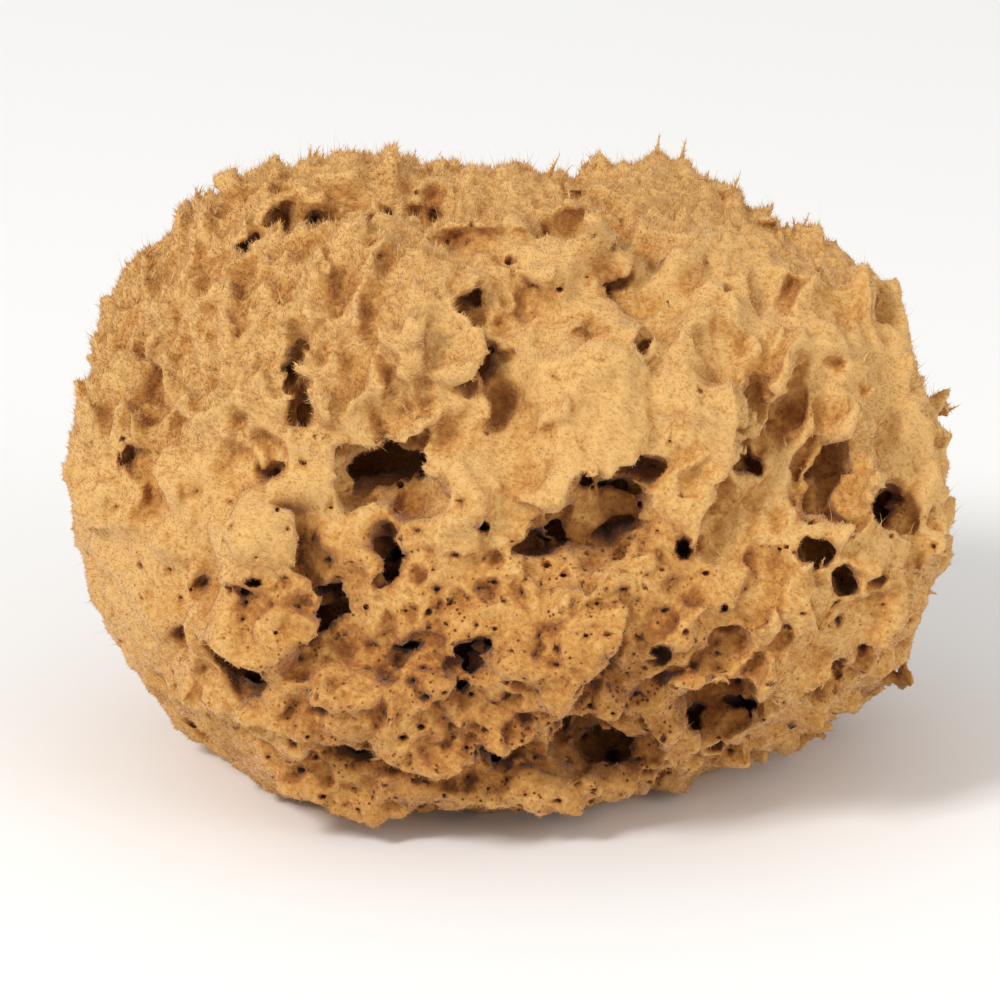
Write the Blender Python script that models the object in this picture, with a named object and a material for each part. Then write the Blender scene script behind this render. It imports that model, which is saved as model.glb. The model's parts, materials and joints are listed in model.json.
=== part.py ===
"""A natural bath sponge: one grown piece of horny fibre, trimmed flat underneath.

The solid is a rounded loaf. Lobes and folds stand proud of it, caves and pits are cut into
it, and low ridges cover the rest. Sizes are in millimetres, and MM turns them into metres.
The frame has +Z up, the viewer at -Y, and its origin in the middle of the base.
"""

import math
import random

import bmesh
import bpy
from mathutils import Matrix, Vector, noise

MM = 0.001

# Overall form
BODY_HALF_FRONT = 52.0  # from the centre towards the viewer
BODY_HALF_BACK = 50.0
CENTRE_HEIGHT = 45.5  # the centre's height above the trimmed base
FULLNESS = 0.78  # 1 is an ellipsoid, less is boxier
LOOK_DOWN_DEG = 20.0  # the angle that the front is seen from
VIEW_DISTANCE = 1200.0
BASE_TRIM = 30.0  # the depth of the block that trims the base
TRIM_WIDTH = 300.0

# Outline seen from the front, as a radius every 15 degrees, counter-clockwise from the right
OUTLINE = (
    73.0, 69.0, 65.4, 58.8, 53.4, 51.0, 49.8, 53.0, 61.0, 67.6, 71.2, 72.2,
    73.6, 69.8, 68.4, 65.8, 62.4, 57.4, 55.0, 55.0, 57.4, 63.0, 70.0, 73.0,
)

FIBRE_ROOM = 1.0  # the solid stays this far inside the outline, where loose fibres reach

# Mesh sizes
FUSE_STEP = 1.1  # voxel that fuses the lobes and folds to the body
CUTTER_STEP = 0.7  # voxel that fuses the cutters with one another
EVEN_STEP = 0.8  # voxel that evens out the cut body
TRIANGLES = 10300
BODY_FINENESS = 6  # times that each ball is subdivided before it is shaped
LOBE_FINENESS = 4
CAVE_FINENESS = 3
POCKET_FINENESS = 2
SEED = 20

# Lobes: name, across, up, half width, half height, rise, tilt in degrees
LOBES = (
    ("upper_left_lobe", -24, 22, 30, 20, 4.5, 0),
    ("flap_lobe", -15, 24, 9, 15, 8.0, -10),
    ("crown_lobe", 3, 37, 22, 8, 5.5, -6),
    ("middle_lobe", 17, 13, 20, 16, 7.5, -10),
    ("right_shoulder", 41, 26, 23, 14, 4.0, -20),
    ("right_flank", 59, 6, 14, 26, 3.0, 0),
    ("block_lobe", -42, -12, 9, 13, 8.0, 12),
    ("block_foot", -37, -22, 5.5, 7, 8.0, 20),
    ("flap_foot", -43, -25, 9.0, 4.5, 7.0, -14),
    ("left_cheek", -64, 3, 9, 13, 2.0, 0),
    ("centre_pillar", -7, -4, 6, 12, 6.0, -8),
    ("pore_lobe", 8, -22, 19, 12, 4.5, 28),
    ("lower_left_lobe", -24, -36, 21, 9, 4.0, 8),
    ("lower_right_lobe", 44, -22, 22, 15, 4.0, 25),
    ("base_lip", -8, -50, 30, 4, 4.0, 0),
    ("back_crest", -12, 47, 38, 6, 5.0, 0),
    ("left_crest", -46, 36, 16, 8, 2.5, 35),
)

# Caves: name, across, up, width, height, depth, tilt, lean across, lean up
CAVES = (
    ("arched_cave", -20.5, 2.6, 15.5, 8.0, 16, 24, -0.35, 0.30),
    ("arched_cave_side", -25.0, 0.0, 6.0, 10.0, 12, 0, -0.4, 0.1),
    ("arched_cave_floor", -16.5, -2.0, 12.0, 9.0, 6, -30, 0.0, 0.0),
    ("crescent_cave", 17.5, -1.4, 15.0, 7.6, 14, 12, 0.1, 0.55),
    ("crescent_tail", 7.0, -7.5, 13.0, 5.0, 10, 42, -0.1, 0.5),
    ("pore_hollow", 16.0, -9.5, 26.0, 13.0, 5, 25, 0.0, 0.3),
    ("oval_cave", 34.8, -38.0, 15.0, 8.6, 15, 9, 0.2, -0.35),
    ("through_cave", -1.5, -45.0, 7.5, 7.5, 18, 35, 0.0, -0.4),
    ("wide_cave", 15.0, -44.5, 21.0, 10.0, 8, 0, 0.0, -0.4),
    ("wide_cave_well", 18.4, -44.5, 7.0, 6.0, 16, 0, 0.2, -0.4),
    ("flap_cave", -43.4, -31.0, 12.0, 6.6, 14, -30, 0.0, -0.1),
    ("flap_cave_nick", -47.0, -28.0, 4.0, 4.0, 11, 0, 0.0, 0.3),
    ("left_nick", -40.8, 0.2, 5.0, 4.2, 11, 20, 0.1, 0.4),
    ("block_hole", -42.1, -17.0, 3.4, 3.2, 10, 0, 0.1, 0.0),
    ("slit", -20.9, -13.8, 4.6, 11.0, 13, -24, -0.2, 0.2),
    ("channel", -30.8, -20.4, 4.8, 14.0, 11, -30, 0.35, 0.1),
    ("small_slot", -16.9, -27.0, 5.6, 2.8, 10, 0, 0.0, 0.2),
    ("fold_hole", 28.7, -11.3, 3.4, 5.2, 13, -15, 0.0, 0.2),
    ("lower_hole", 24.6, -28.0, 5.6, 3.4, 12, 20, 0.1, 0.3),
    ("scoop", -6.6, -29.8, 7.4, 12.6, 6, -8, -0.5, 0.0),
    ("scoop_hole", -3.3, -26.4, 3.4, 2.8, 11, 20, 0.0, 0.2),
    ("flap_slit", -6.6, 23.0, 4.0, 18.0, 13, -16, -0.7, 0.0),
    ("crown_hole", 15.8, 32.0, 3.8, 4.0, 13, -20, -0.1, 0.4),
    ("crown_slit", 13.0, 26.6, 8.0, 3.0, 12, 22, 0.0, 0.6),
    ("shoulder_slit", 21.3, 21.6, 2.8, 7.6, 12, -14, 0.2, 0.1),
    ("right_nick", 55.4, 14.9, 5.4, 3.4, 11, 15, 0.1, 0.4),
    ("right_pit", 61.2, -3.8, 6.4, 8.4, 11, 0, -0.3, 0.2),
    ("right_furrow", 39.4, 3.4, 2.8, 9.0, 8, -16, -0.2, 0.0),
    ("right_fold", 46.0, 14.0, 2.8, 15.0, 7, -12, -0.3, 0.0),
    ("outer_fold", 54.0, 1.0, 3.0, 17.0, 7, -4, -0.3, 0.0),
    ("lower_right_cave", 53.2, -33.0, 8.0, 4.6, 8, 38, 0.1, -0.1),
    ("right_slot", 63.0, -16.6, 6.6, 3.2, 9, 18, 0.0, 0.2),
    ("lower_left_slot", -24.6, -45.4, 6.0, 3.6, 10, -10, 0.0, -0.3),
    ("upper_groove", -34.2, 14.6, 3.4, 12.0, 5, 12, -0.3, 0.0),
    ("left_pit", -61.4, 3.2, 4.0, 4.4, 7, 0, 0.0, 0.2),
    ("low_left_pit", -53.8, -26.0, 4.2, 3.6, 7, 0, 0.0, 0.2),
    ("cheek_pit", -51.0, -18.6, 4.6, 3.2, 6, 20, 0.0, 0.0),
    ("crest_furrow_left", -37.0, 42.0, 18.0, 3.6, 12, 24, 0.0, 0.5),
    ("crest_furrow_middle", -19.0, 44.0, 17.0, 3.4, 14, 3, 0.0, 0.5),
    ("crest_furrow_right", 10.0, 41.4, 20.0, 2.4, 9, -6, 0.0, 0.5),
    ("band_furrow", 24.0, -34.5, 26.0, 2.8, 6, 36, 0.0, 0.2),
)

# Folds: name, across, up, half width, half height, rise, tilt in degrees
FOLDS = (
    ("flame_one", -58, 22, 2.4, 7.0, 4.5, 14),
    ("flame_two", -50, 12, 2.4, 8.0, 5.5, 10),
    ("flame_three", -45, 28, 2.6, 7.0, 7.0, 12),
    ("flame_four", -36, 24, 2.4, 8.0, 7.5, 4),
    ("flame_five", -28, 33, 2.6, 6.5, 8.0, 6),
    ("flame_six", -56, -1, 2.6, 7.0, 4.0, 6),
    ("flame_seven", -30, 13, 2.4, 7.0, 7.2, -4),
    ("crown_plate", 2.0, 32.0, 12.0, 2.8, 9.0, -4),
    ("crown_corner", 14.0, 36.0, 7.0, 2.6, 9.0, -24),
    ("shoulder_fold", 31.0, 26.0, 2.6, 10.0, 7.0, -24),
    ("middle_fold", 37.0, 10.0, 2.4, 13.0, 6.5, -14),
    ("frayed_fold", 49.0, -14.0, 3.2, 9.0, 5.0, -4),
    ("inner_plate", 45.0, 20.0, 2.4, 12.0, 7.0, -20),
    ("outer_plate", 58.0, 6.0, 2.4, 13.0, 5.6, -6),
    ("edge_plate", 66.0, -4.0, 2.2, 12.0, 4.4, -2),
    ("rim_of_middle_lobe", 11.0, 1.0, 13.0, 2.8, 8.0, 24),
    ("rim_of_oval_cave", 36.0, -32.0, 10.0, 2.4, 4.5, 8),
    ("diagonal_band", 30.0, -23.0, 14.0, 2.4, 5.5, 34),
    ("second_band", 45.0, -26.0, 13.0, 2.4, 5.5, 34),
    ("base_band", -14.0, -44.0, 18.0, 2.2, 5.0, -4),
)

# Pit zones: name, across, up, half width, half height, tilt, number of pits
PIT_ZONES = (
    ("pore_lobe", 12, -15, 16, 9, 30, 13),
    ("lower_left", -24, -36, 22, 7, 6, 10),
    ("left_side", -55, -14, 8, 15, 0, 6),
    ("right_side", 56, 0, 9, 20, 0, 7),
    ("lower_right", 40, -20, 14, 7, 30, 6),
)
PIT_WIDTH = (2.2, 3.4)
PIT_DEPTH = (4.0, 6.0)

# A cave wider than this has side pockets, which make its rim uneven
POCKET_FROM = 4.0
POCKETS = 3
POCKET_SHARE = (0.4, 0.65)  # a pocket's size as a share of its cave's
POCKET_ASIDE = 0.4  # how far a pocket stands from the middle, as a share of the cave's width

# The hidden sides carry forms of the same kinds, spread by a seeded draw
HIDDEN_LOBES = 14
HIDDEN_LOBE_WIDTH = (14.0, 28.0)
HIDDEN_LOBE_HEIGHT = (10.0, 20.0)
HIDDEN_LOBE_DEPTH = (6.0, 9.0)
HIDDEN_RISE = 2.6
HIDDEN_FOLDS = 40
HIDDEN_FOLD_LENGTH = (6.0, 13.0)
HIDDEN_FOLD_RISE = (2.4, 4.0)
HIDDEN_CAVES = 46
HIDDEN_CAVE_WIDTH = (4.0, 12.0)
HIDDEN_CAVE_DEPTH = (7.0, 14.0)
HIDDEN_CAVE_FLATNESS = (0.5, 0.95)  # a hidden cave's height as a share of its width
HIDDEN_PITS = 30
HIDDEN_LEAN = 0.4
HIDDEN_TILT = (0.0, 180.0)  # degrees
HIDDEN_BEHIND = 0.1  # a direction is hidden from here backwards, as a share of the view
HIDDEN_BELOW = -0.9  # and from here downwards
CHOICES = 8  # directions that are tried for each hidden form
FULL_RISE_BEHIND = 0.8  # hidden forms rise less between here and the outline

# Shares and reaches that the blobs are made with
FOLD_HALF_WIDTH = 2.3
LOBE_UNEVEN = 0.25
CAVE_UNEVEN = 0.45
UNEVEN_SIZE = 1.7  # bumps on a blob's skin, per radius
UNEVEN_SHIFT = Vector((0.37, 0.53, 0.71))  # gives each place its own bumps
SMOOTH_FACTOR = 0.5
SMOOTH_ROUNDS = 3
NORMAL_STEP = 0.02
EDGE_SHARE = 0.995  # the front reaches this far towards the outline
FACE_VIEWER = 0.7  # how far a front cave turns to the viewer
DRAW_OUT_LIMIT = 0.5
CUTTER_REACH = 3.0  # how far a cutter's middle stands outside the skin

# Low ridges round shallow hollows
RIDGE_CELL = 15.0
RIDGE_STRETCH = 1.6  # the hollows are this much longer upwards than across
RIDGE_RISE = 1.6
RIDGE_WIDTH = 0.16  # share of a hollow
RIDGE_LEVEL = 0.4  # the share of a ridge that lies below the skin
RIDGE_WANDER = 0.25
RIDGE_WANDER_SIZE = 2

look_down = math.radians(LOOK_DOWN_DEG)
RIGHT = Vector((1.0, 0.0, 0.0))
UP = Vector((0.0, math.sin(look_down), math.cos(look_down)))
FORWARD = Vector((0.0, -math.cos(look_down), math.sin(look_down)))
CENTRE = Vector((0.0, 0.0, CENTRE_HEIGHT))


def outline_radius(angle):
    """The outline's radius at an angle, by a smooth closed curve through OUTLINE."""
    count = len(OUTLINE)
    place = (angle / math.tau * count) % count
    first = int(place)
    share = place - first
    before, start, end, after = (OUTLINE[(first + k) % count] for k in (-1, 0, 1, 2))
    bend_in = (end - before) / 2
    bend_out = (after - start) / 2
    square, cube = share * share, share ** 3
    return -FIBRE_ROOM + (
        start * (2 * cube - 3 * square + 1)
        + bend_in * (cube - 2 * square + share)
        + end * (3 * square - 2 * cube)
        + bend_out * (cube - square)
    )


def on_body(direction):
    """The point of the loaf in a direction given as (right, up, forward) shares."""
    across, up, forward = direction
    sideways = math.hypot(across, up)
    radius = outline_radius(math.atan2(up, across)) * sideways ** FULLNESS
    half_depth = BODY_HALF_FRONT if forward > 0 else BODY_HALF_BACK
    depth = math.copysign(half_depth * abs(forward) ** FULLNESS, forward)
    if sideways > 0:
        across, up = across / sideways * radius, up / sideways * radius
    return CENTRE + RIGHT * across + UP * up + FORWARD * depth


def direction_at(across, up):
    """The direction to the front point that is seen at a place on the outline's plane."""
    shrink = 1.0
    for _ in range(3):
        angle = math.atan2(up, across)
        share = min(EDGE_SHARE, math.hypot(across, up) * shrink / outline_radius(angle))
        sideways = share ** (1 / FULLNESS)
        forward = math.sqrt(1 - sideways * sideways)
        shrink = 1 - BODY_HALF_FRONT * forward ** FULLNESS / VIEW_DISTANCE
    return sideways * math.cos(angle), sideways * math.sin(angle), forward


def outward_at(direction):
    """The loaf's outward normal in a direction, from two small steps along its surface."""
    here = Vector(direction).normalized()
    side = here.orthogonal().normalized() * NORMAL_STEP
    other = here.cross(side)
    point = on_body(here)
    first = on_body((here + side).normalized()) - point
    second = on_body((here + other).normalized()) - point
    normal = first.cross(second).normalized()
    return normal if normal.dot(point - CENTRE) > 0 else -normal


def frame_at(direction, tilt, lean_across=0.0, lean_up=0.0):
    """Axes for a lobe or a cave: its width, its height, and the way out of the body.

    On the front, the width and height are drawn out so that they keep their size as seen.
    """
    seen = direction[2] > 0
    facing = FORWARD * FACE_VIEWER if seen else Vector()
    out = (outward_at(direction) + facing - RIGHT * lean_across - UP * lean_up).normalized()
    if seen:
        turn = Matrix.Rotation(math.radians(tilt), 3, FORWARD)
        wanted = (turn @ RIGHT, turn @ UP)
    else:
        level = RIGHT if abs(out.x) < abs(out.z) else UP
        width = Matrix.Rotation(math.radians(tilt), 3, out) @ out.cross(level).normalized()
        wanted = (width, out.cross(width))
    drawn_out = []
    for axis in wanted:
        flat = axis - out * axis.dot(out)
        drawn_out.append(flat / max(DRAW_OUT_LIMIT, flat.dot(axis)))
    return drawn_out[0], drawn_out[1], out


def add_blob(mesh, place, axes, halves, wobble, fineness):
    """Adds an ellipsoid with a gently uneven skin to a bmesh."""
    made = bmesh.ops.create_icosphere(mesh, subdivisions=fineness, radius=1.0)
    shift = place * UNEVEN_SHIFT
    for vertex in made["verts"]:
        ball = vertex.co.copy()
        swell = 1 + wobble * noise.noise(ball * UNEVEN_SIZE + shift)
        offset = sum((axis * (ball[k] * halves[k] * swell) for k, axis in enumerate(axes)), Vector())
        vertex.co = (place + offset) * MM


def new_object(name, mesh):
    """Turns a bmesh into an object and makes it the active one."""
    data = bpy.data.meshes.new(name)
    mesh.to_mesh(data)
    mesh.free()
    made = bpy.data.objects.new(name, data)
    bpy.context.scene.collection.objects.link(made)
    bpy.context.view_layer.objects.active = made
    return made


def apply_modifier(target, kind, **settings):
    """Adds a modifier with its settings and applies it."""
    modifier = target.modifiers.new(kind.title(), kind)
    for setting, value in settings.items():
        setattr(modifier, setting, value)
    with bpy.context.temp_override(object=target, active_object=target):
        bpy.ops.object.modifier_apply(modifier=modifier.name)


def cut_away(target, tool):
    """Subtracts a cutter. This solver puts the points in the same order in every build."""
    apply_modifier(target, "BOOLEAN", operation="DIFFERENCE", object=tool, solver="MANIFOLD")


def make_helper(tool):
    """Keeps a cutter out of the finished object."""
    tool.hide_render = True
    tool.display_type = "WIRE"


def hidden_direction(draw, taken):
    """A direction away from the front, the one of several that is farthest from those taken."""
    choices = []
    while len(choices) < CHOICES:
        way = Vector((draw.gauss(0, 1), draw.gauss(0, 1), draw.gauss(0, 1))).normalized()
        if way.z < HIDDEN_BEHIND or way.y < HIDDEN_BELOW:
            choices.append(way)
    chosen = max(choices, key=lambda way: min(((way - other).length for other in taken), default=0))
    taken.append(chosen)
    return chosen


def hidden_rise(way, rise):
    """A hidden form's rise, less near the outline so that it doesn't widen it."""
    return rise * min(1.0, max(0.0, -way.z / FULL_RISE_BEHIND))


def add_raised(mesh, way, halves, rise, tilt):
    """Adds a lobe or a fold that stands proud of the loaf by its rise."""
    axes = frame_at(way, tilt)
    middle = on_body(way) + axes[2] * (rise - halves[2])
    add_blob(mesh, middle, axes, halves, LOBE_UNEVEN, LOBE_FINENESS)


def build_body(draw):
    """The loaf with every lobe and fold fused to it."""
    mesh = bmesh.new()
    made = bmesh.ops.create_icosphere(mesh, subdivisions=BODY_FINENESS, radius=1.0)
    for vertex in made["verts"]:
        vertex.co = on_body(vertex.co.normalized()) * MM
    for _, across, up, half_width, half_height, rise, tilt in LOBES + FOLDS:
        halves = (half_width, half_height, rise * 2)
        add_raised(mesh, direction_at(across, up), halves, rise, tilt)
    taken = []
    for _ in range(HIDDEN_LOBES):
        way, tilt = hidden_direction(draw, taken), draw.uniform(*HIDDEN_TILT)
        sizes = (HIDDEN_LOBE_WIDTH, HIDDEN_LOBE_HEIGHT, HIDDEN_LOBE_DEPTH)
        halves = [draw.uniform(*size) for size in sizes]
        add_raised(mesh, way, halves, hidden_rise(way, HIDDEN_RISE), tilt)
    for _ in range(HIDDEN_FOLDS):
        way, tilt = hidden_direction(draw, taken), draw.uniform(*HIDDEN_TILT)
        rise = draw.uniform(*HIDDEN_FOLD_RISE)
        halves = (FOLD_HALF_WIDTH, draw.uniform(*HIDDEN_FOLD_LENGTH), rise * 2)
        add_raised(mesh, way, halves, hidden_rise(way, rise), tilt)
    bmesh.ops.recalc_face_normals(mesh, faces=mesh.faces)
    body = new_object("sponge", mesh)
    apply_modifier(body, "REMESH", mode="VOXEL", voxel_size=FUSE_STEP * MM)
    apply_modifier(body, "SMOOTH", factor=SMOOTH_FACTOR, iterations=SMOOTH_ROUNDS)
    return body


def add_cave(mesh, way, sizes, axes, draw):
    """Adds one cave to the cutter, with side pockets if it is wide enough."""
    width, height, depth = sizes
    mouth = on_body(way)
    halves = (width / 2, height / 2, depth + CUTTER_REACH)
    add_blob(mesh, mouth + axes[2] * CUTTER_REACH, axes, halves, CAVE_UNEVEN, CAVE_FINENESS)
    if min(width, height) < POCKET_FROM:
        return
    for _ in range(POCKETS):
        turn = draw.uniform(0, math.tau)
        share = draw.uniform(*POCKET_SHARE)
        across = axes[0] * (math.cos(turn) * width * POCKET_ASIDE)
        aside = across + axes[1] * (math.sin(turn) * height * POCKET_ASIDE)
        small = (width * share / 2, height * share / 2, depth * share + CUTTER_REACH)
        add_blob(mesh, mouth + aside + axes[2] * CUTTER_REACH, axes, small, CAVE_UNEVEN, POCKET_FINENESS)


def build_cave_cutter(draw):
    """Every cave and pit as one closed cutter, each reaching out past the skin."""
    mesh = bmesh.new()
    for _, across, up, width, height, depth, tilt, lean_across, lean_up in CAVES:
        way = direction_at(across, up)
        axes = frame_at(way, tilt, lean_across, lean_up)
        add_cave(mesh, way, (width, height, depth), axes, draw)
    for _, across, up, half_width, half_height, tilt, pits in PIT_ZONES:
        lean = math.radians(tilt)
        for _ in range(pits):
            reach, turn = math.sqrt(draw.random()), draw.uniform(0, math.tau)
            along, aside = reach * math.cos(turn) * half_width, reach * math.sin(turn) * half_height
            way = direction_at(
                across + along * math.cos(lean) - aside * math.sin(lean),
                up + along * math.sin(lean) + aside * math.cos(lean),
            )
            width = draw.uniform(*PIT_WIDTH)
            add_cave(mesh, way, (width, width, draw.uniform(*PIT_DEPTH)), frame_at(way, 0), draw)
    taken = []
    for number in range(HIDDEN_CAVES + HIDDEN_PITS):
        way = hidden_direction(draw, taken)
        leans = [draw.uniform(-HIDDEN_LEAN, HIDDEN_LEAN) for _ in range(2)]
        axes = frame_at(way, draw.uniform(*HIDDEN_TILT), *leans)
        is_pit = number >= HIDDEN_CAVES
        width = draw.uniform(*(PIT_WIDTH if is_pit else HIDDEN_CAVE_WIDTH))
        depth = draw.uniform(*(PIT_DEPTH if is_pit else HIDDEN_CAVE_DEPTH))
        add_cave(mesh, way, (width, width * draw.uniform(*HIDDEN_CAVE_FLATNESS), depth), axes, draw)
    cutter = new_object("cave_cutter", mesh)
    apply_modifier(cutter, "REMESH", mode="VOXEL", voxel_size=CUTTER_STEP * MM)
    make_helper(cutter)
    return cutter


def raise_ridges(body):
    """Lifts the skin into low ridges where two shallow hollows meet."""
    squeeze = Vector((1.0, 1.0, 1 / RIDGE_STRETCH)) / RIDGE_CELL
    lifts = []
    for vertex in body.data.vertices:
        place = vertex.co / MM * squeeze
        place += noise.noise_vector(place * RIDGE_WANDER_SIZE) * RIDGE_WANDER
        reaches = noise.voronoi(place)[0]
        ridge = math.exp(-(reaches[1] - reaches[0]) / RIDGE_WIDTH)
        lifts.append(vertex.normal * ((ridge - RIDGE_LEVEL) * RIDGE_RISE * MM))
    for vertex, lift in zip(body.data.vertices, lifts):
        vertex.co += lift


def trim_base(body):
    """Cuts the underside flat, and sets the origin in the middle of the base."""
    low = Vector(map(min, *(v.co for v in body.data.vertices)))
    high = Vector(map(max, *(v.co for v in body.data.vertices)))
    middle = (low + high) / 2
    body.data.transform(Matrix.Translation((-middle.x, -middle.y, 0)))
    print(f"moved by {-middle.x / MM:.3f}, {-middle.y / MM:.3f} mm to stand over the origin")
    mesh = bmesh.new()
    place = Matrix.Translation((0, 0, -BASE_TRIM / 2 * MM))
    size = Matrix.Diagonal((TRIM_WIDTH * MM, TRIM_WIDTH * MM, BASE_TRIM * MM, 1))
    bmesh.ops.create_cube(mesh, size=1.0, matrix=place @ size)
    block = new_object("base_trim", mesh)
    cut_away(body, block)
    make_helper(block)


def spongin_material():
    """Golden, dull horny fibre."""
    material = bpy.data.materials.new("spongin_fibre")
    material.use_nodes = True
    shader = material.node_tree.nodes["Principled BSDF"]
    shader.inputs["Base Color"].default_value = (0.66, 0.38, 0.14, 1.0)
    shader.inputs["Roughness"].default_value = 0.95
    shader.inputs["Metallic"].default_value = 0.0
    return material


def main():
    for old in list(bpy.data.objects):
        bpy.data.objects.remove(old)
    noise.seed_set(SEED)  # without it, noise_vector takes its offsets from the clock
    draw = random.Random(SEED)
    body = build_body(draw)
    cutter = build_cave_cutter(draw)
    cut_away(body, cutter)
    apply_modifier(body, "REMESH", mode="VOXEL", voxel_size=EVEN_STEP * MM)
    raise_ridges(body)
    faces = sum(len(face.vertices) - 2 for face in body.data.polygons)
    apply_modifier(body, "DECIMATE", ratio=TRIANGLES / faces)
    trim_base(body)
    body.data.materials.append(spongin_material())
    body.data.shade_smooth()


main()
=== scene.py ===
# %% [markdown]
# # A natural bath sponge
# The real object is the dried skeleton of an animal: a loaf of horny fibres, called spongin,
# with caves and pores that carried water. We dress its solid in three layers. The skin gets
# finer folds and pores, short fibres make a felt over it, and tufts and hairs stand at its crests.
# The frame comes first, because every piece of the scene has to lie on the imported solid.

# %% Load the solid
import json
import math
import bpy
import numpy as np
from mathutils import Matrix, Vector
from mathutils.bvhtree import BVHTree

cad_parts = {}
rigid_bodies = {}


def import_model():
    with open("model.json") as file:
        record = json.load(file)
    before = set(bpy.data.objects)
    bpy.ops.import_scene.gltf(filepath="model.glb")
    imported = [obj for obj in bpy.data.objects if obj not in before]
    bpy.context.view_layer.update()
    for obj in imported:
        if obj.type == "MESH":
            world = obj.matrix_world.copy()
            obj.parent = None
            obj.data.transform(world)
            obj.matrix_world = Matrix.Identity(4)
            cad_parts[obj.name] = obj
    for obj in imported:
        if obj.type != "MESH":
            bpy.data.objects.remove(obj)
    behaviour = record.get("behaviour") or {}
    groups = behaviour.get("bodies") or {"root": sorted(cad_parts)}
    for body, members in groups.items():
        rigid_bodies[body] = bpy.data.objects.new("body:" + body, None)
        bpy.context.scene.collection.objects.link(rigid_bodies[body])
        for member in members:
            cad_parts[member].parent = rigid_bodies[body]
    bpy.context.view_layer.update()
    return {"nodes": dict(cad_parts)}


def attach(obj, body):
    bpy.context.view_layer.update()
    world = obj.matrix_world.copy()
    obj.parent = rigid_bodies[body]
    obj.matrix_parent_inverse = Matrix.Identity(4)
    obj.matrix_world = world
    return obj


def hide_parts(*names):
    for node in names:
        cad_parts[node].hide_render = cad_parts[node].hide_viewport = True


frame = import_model()
MM = 0.001

# %% [markdown]
# ## Directions and places
# The photo looks down on the sponge at 20 degrees from about 1.2 m. Places on its front are
# easiest to say as that view shows them: so many millimetres across and up from the middle of
# the loaf. The view draws near points a little larger, so that is worked in.

# %% The view's directions
LOOK_DOWN_DEG = 20.0
VIEW_DISTANCE = 1200.0  # mm
LOAF_CENTRE = np.array((0.19, 1.08, 45.5))  # mm, in the solid's frame
AIM_ASIDE = -1.64  # mm, where the photo's middle lies from the loaf's
AIM_UP = -3.28

look_down = math.radians(LOOK_DOWN_DEG)
RIGHT = np.array((1.0, 0.0, 0.0))
UP = np.array((0.0, math.sin(look_down), math.cos(look_down)))
FORWARD = np.array((0.0, -math.cos(look_down), math.sin(look_down)))
SKY = np.array((0.0, 0.0, 1.0))
aim = LOAF_CENTRE + RIGHT * AIM_ASIDE + UP * AIM_UP
eye = aim + FORWARD * VIEW_DISTANCE


def seen_place(points):
    """How far right of the loaf's middle and how far up from it the view shows each point, in mm."""
    away = points - aim
    larger = VIEW_DISTANCE / (VIEW_DISTANCE - away @ FORWARD)
    return away @ RIGHT * larger + AIM_ASIDE, away @ UP * larger + AIM_UP


def ramp(values, start, end):
    """Rises smoothly from 0 at start to 1 at end."""
    share = np.clip((values - start) / (end - start), 0.0, 1.0)
    return share * share * (3 - 2 * share)


print("the eye is at", eye.round(), "mm")

# %% [markdown]
# ## Small helpers
# Operators act on what is selected, so one helper selects an object alone before each step.
# Another applies a modifier at once, which keeps every finished piece a plain mesh.

# %% Helpers for objects and meshes
def select_only(piece):
    """Selects one object alone and makes it active."""
    bpy.ops.object.select_all(action="DESELECT")
    piece.select_set(True)
    bpy.context.view_layer.objects.active = piece


def apply_modifier(piece, kind, **settings):
    """Adds a modifier with its settings and applies it."""
    select_only(piece)
    modifier = piece.modifiers.new(kind.title(), kind)
    for name, value in settings.items():
        setattr(modifier, name, value)
    bpy.ops.object.modifier_apply(modifier=modifier.name)


def read_points(piece):
    """The piece's vertices in mm, one row each."""
    flat = np.empty(len(piece.data.vertices) * 3)
    piece.data.vertices.foreach_get("co", flat)
    return flat.reshape(-1, 3) / MM


def read_normals(piece):
    """The piece's vertex normals, one row each."""
    flat = np.empty(len(piece.data.vertices) * 3)
    piece.data.vertex_normals.foreach_get("vector", flat)
    return flat.reshape(-1, 3)


def write_points(piece, points):
    """Moves the piece's vertices to these points, given in mm."""
    piece.data.vertices.foreach_set("co", (points * MM).ravel())
    piece.data.update()


def write_attribute(piece, name, values):
    """Stores one number for each vertex, which a material can read."""
    attribute = piece.data.attributes.new(name, "FLOAT", "POINT")
    attribute.data.foreach_set("value", np.asarray(values, dtype=np.float32))


def unit(vectors):
    """Each row at length one."""
    return vectors / np.maximum(np.linalg.norm(vectors, axis=1, keepdims=True), 1e-9)


print("helpers ready")

# %% [markdown]
# ## Two kinds of noise
# Growth is uneven in two ways. A soft noise swells and thins the skin, like clouds. A cell
# noise scatters one seed in each cell and measures how far the nearest is, which places round
# hollows. Both work on whole arrays of points at once, because a loop over so many vertices
# would be slow, and both draw from numbered seeds, so that every run gives the same sponge.

# %% Soft noise and cell noise
LATTICE = np.random.default_rng(4).uniform(-1, 1, (64, 64, 64))
SEEDS = np.random.default_rng(5).uniform(0, 1, (32, 32, 32, 3))
NEIGHBOURS = [(i, j, k) for i in (-1, 0, 1) for j in (-1, 0, 1) for k in (-1, 0, 1)]


def soft_noise(points, size, shift=0):
    """A value from -1 to 1 that changes smoothly over the given size, in mm."""
    place = points / size + shift
    low = np.floor(place).astype(int)
    share = place - low
    share = share * share * (3 - 2 * share)
    total = np.zeros(len(points))
    for corner in np.ndindex(2, 2, 2):
        weight = np.prod(np.where(corner, share, 1 - share), axis=1)
        index = (low + corner) % 64
        total += weight * LATTICE[index[:, 0], index[:, 1], index[:, 2]]
    return total


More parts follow.
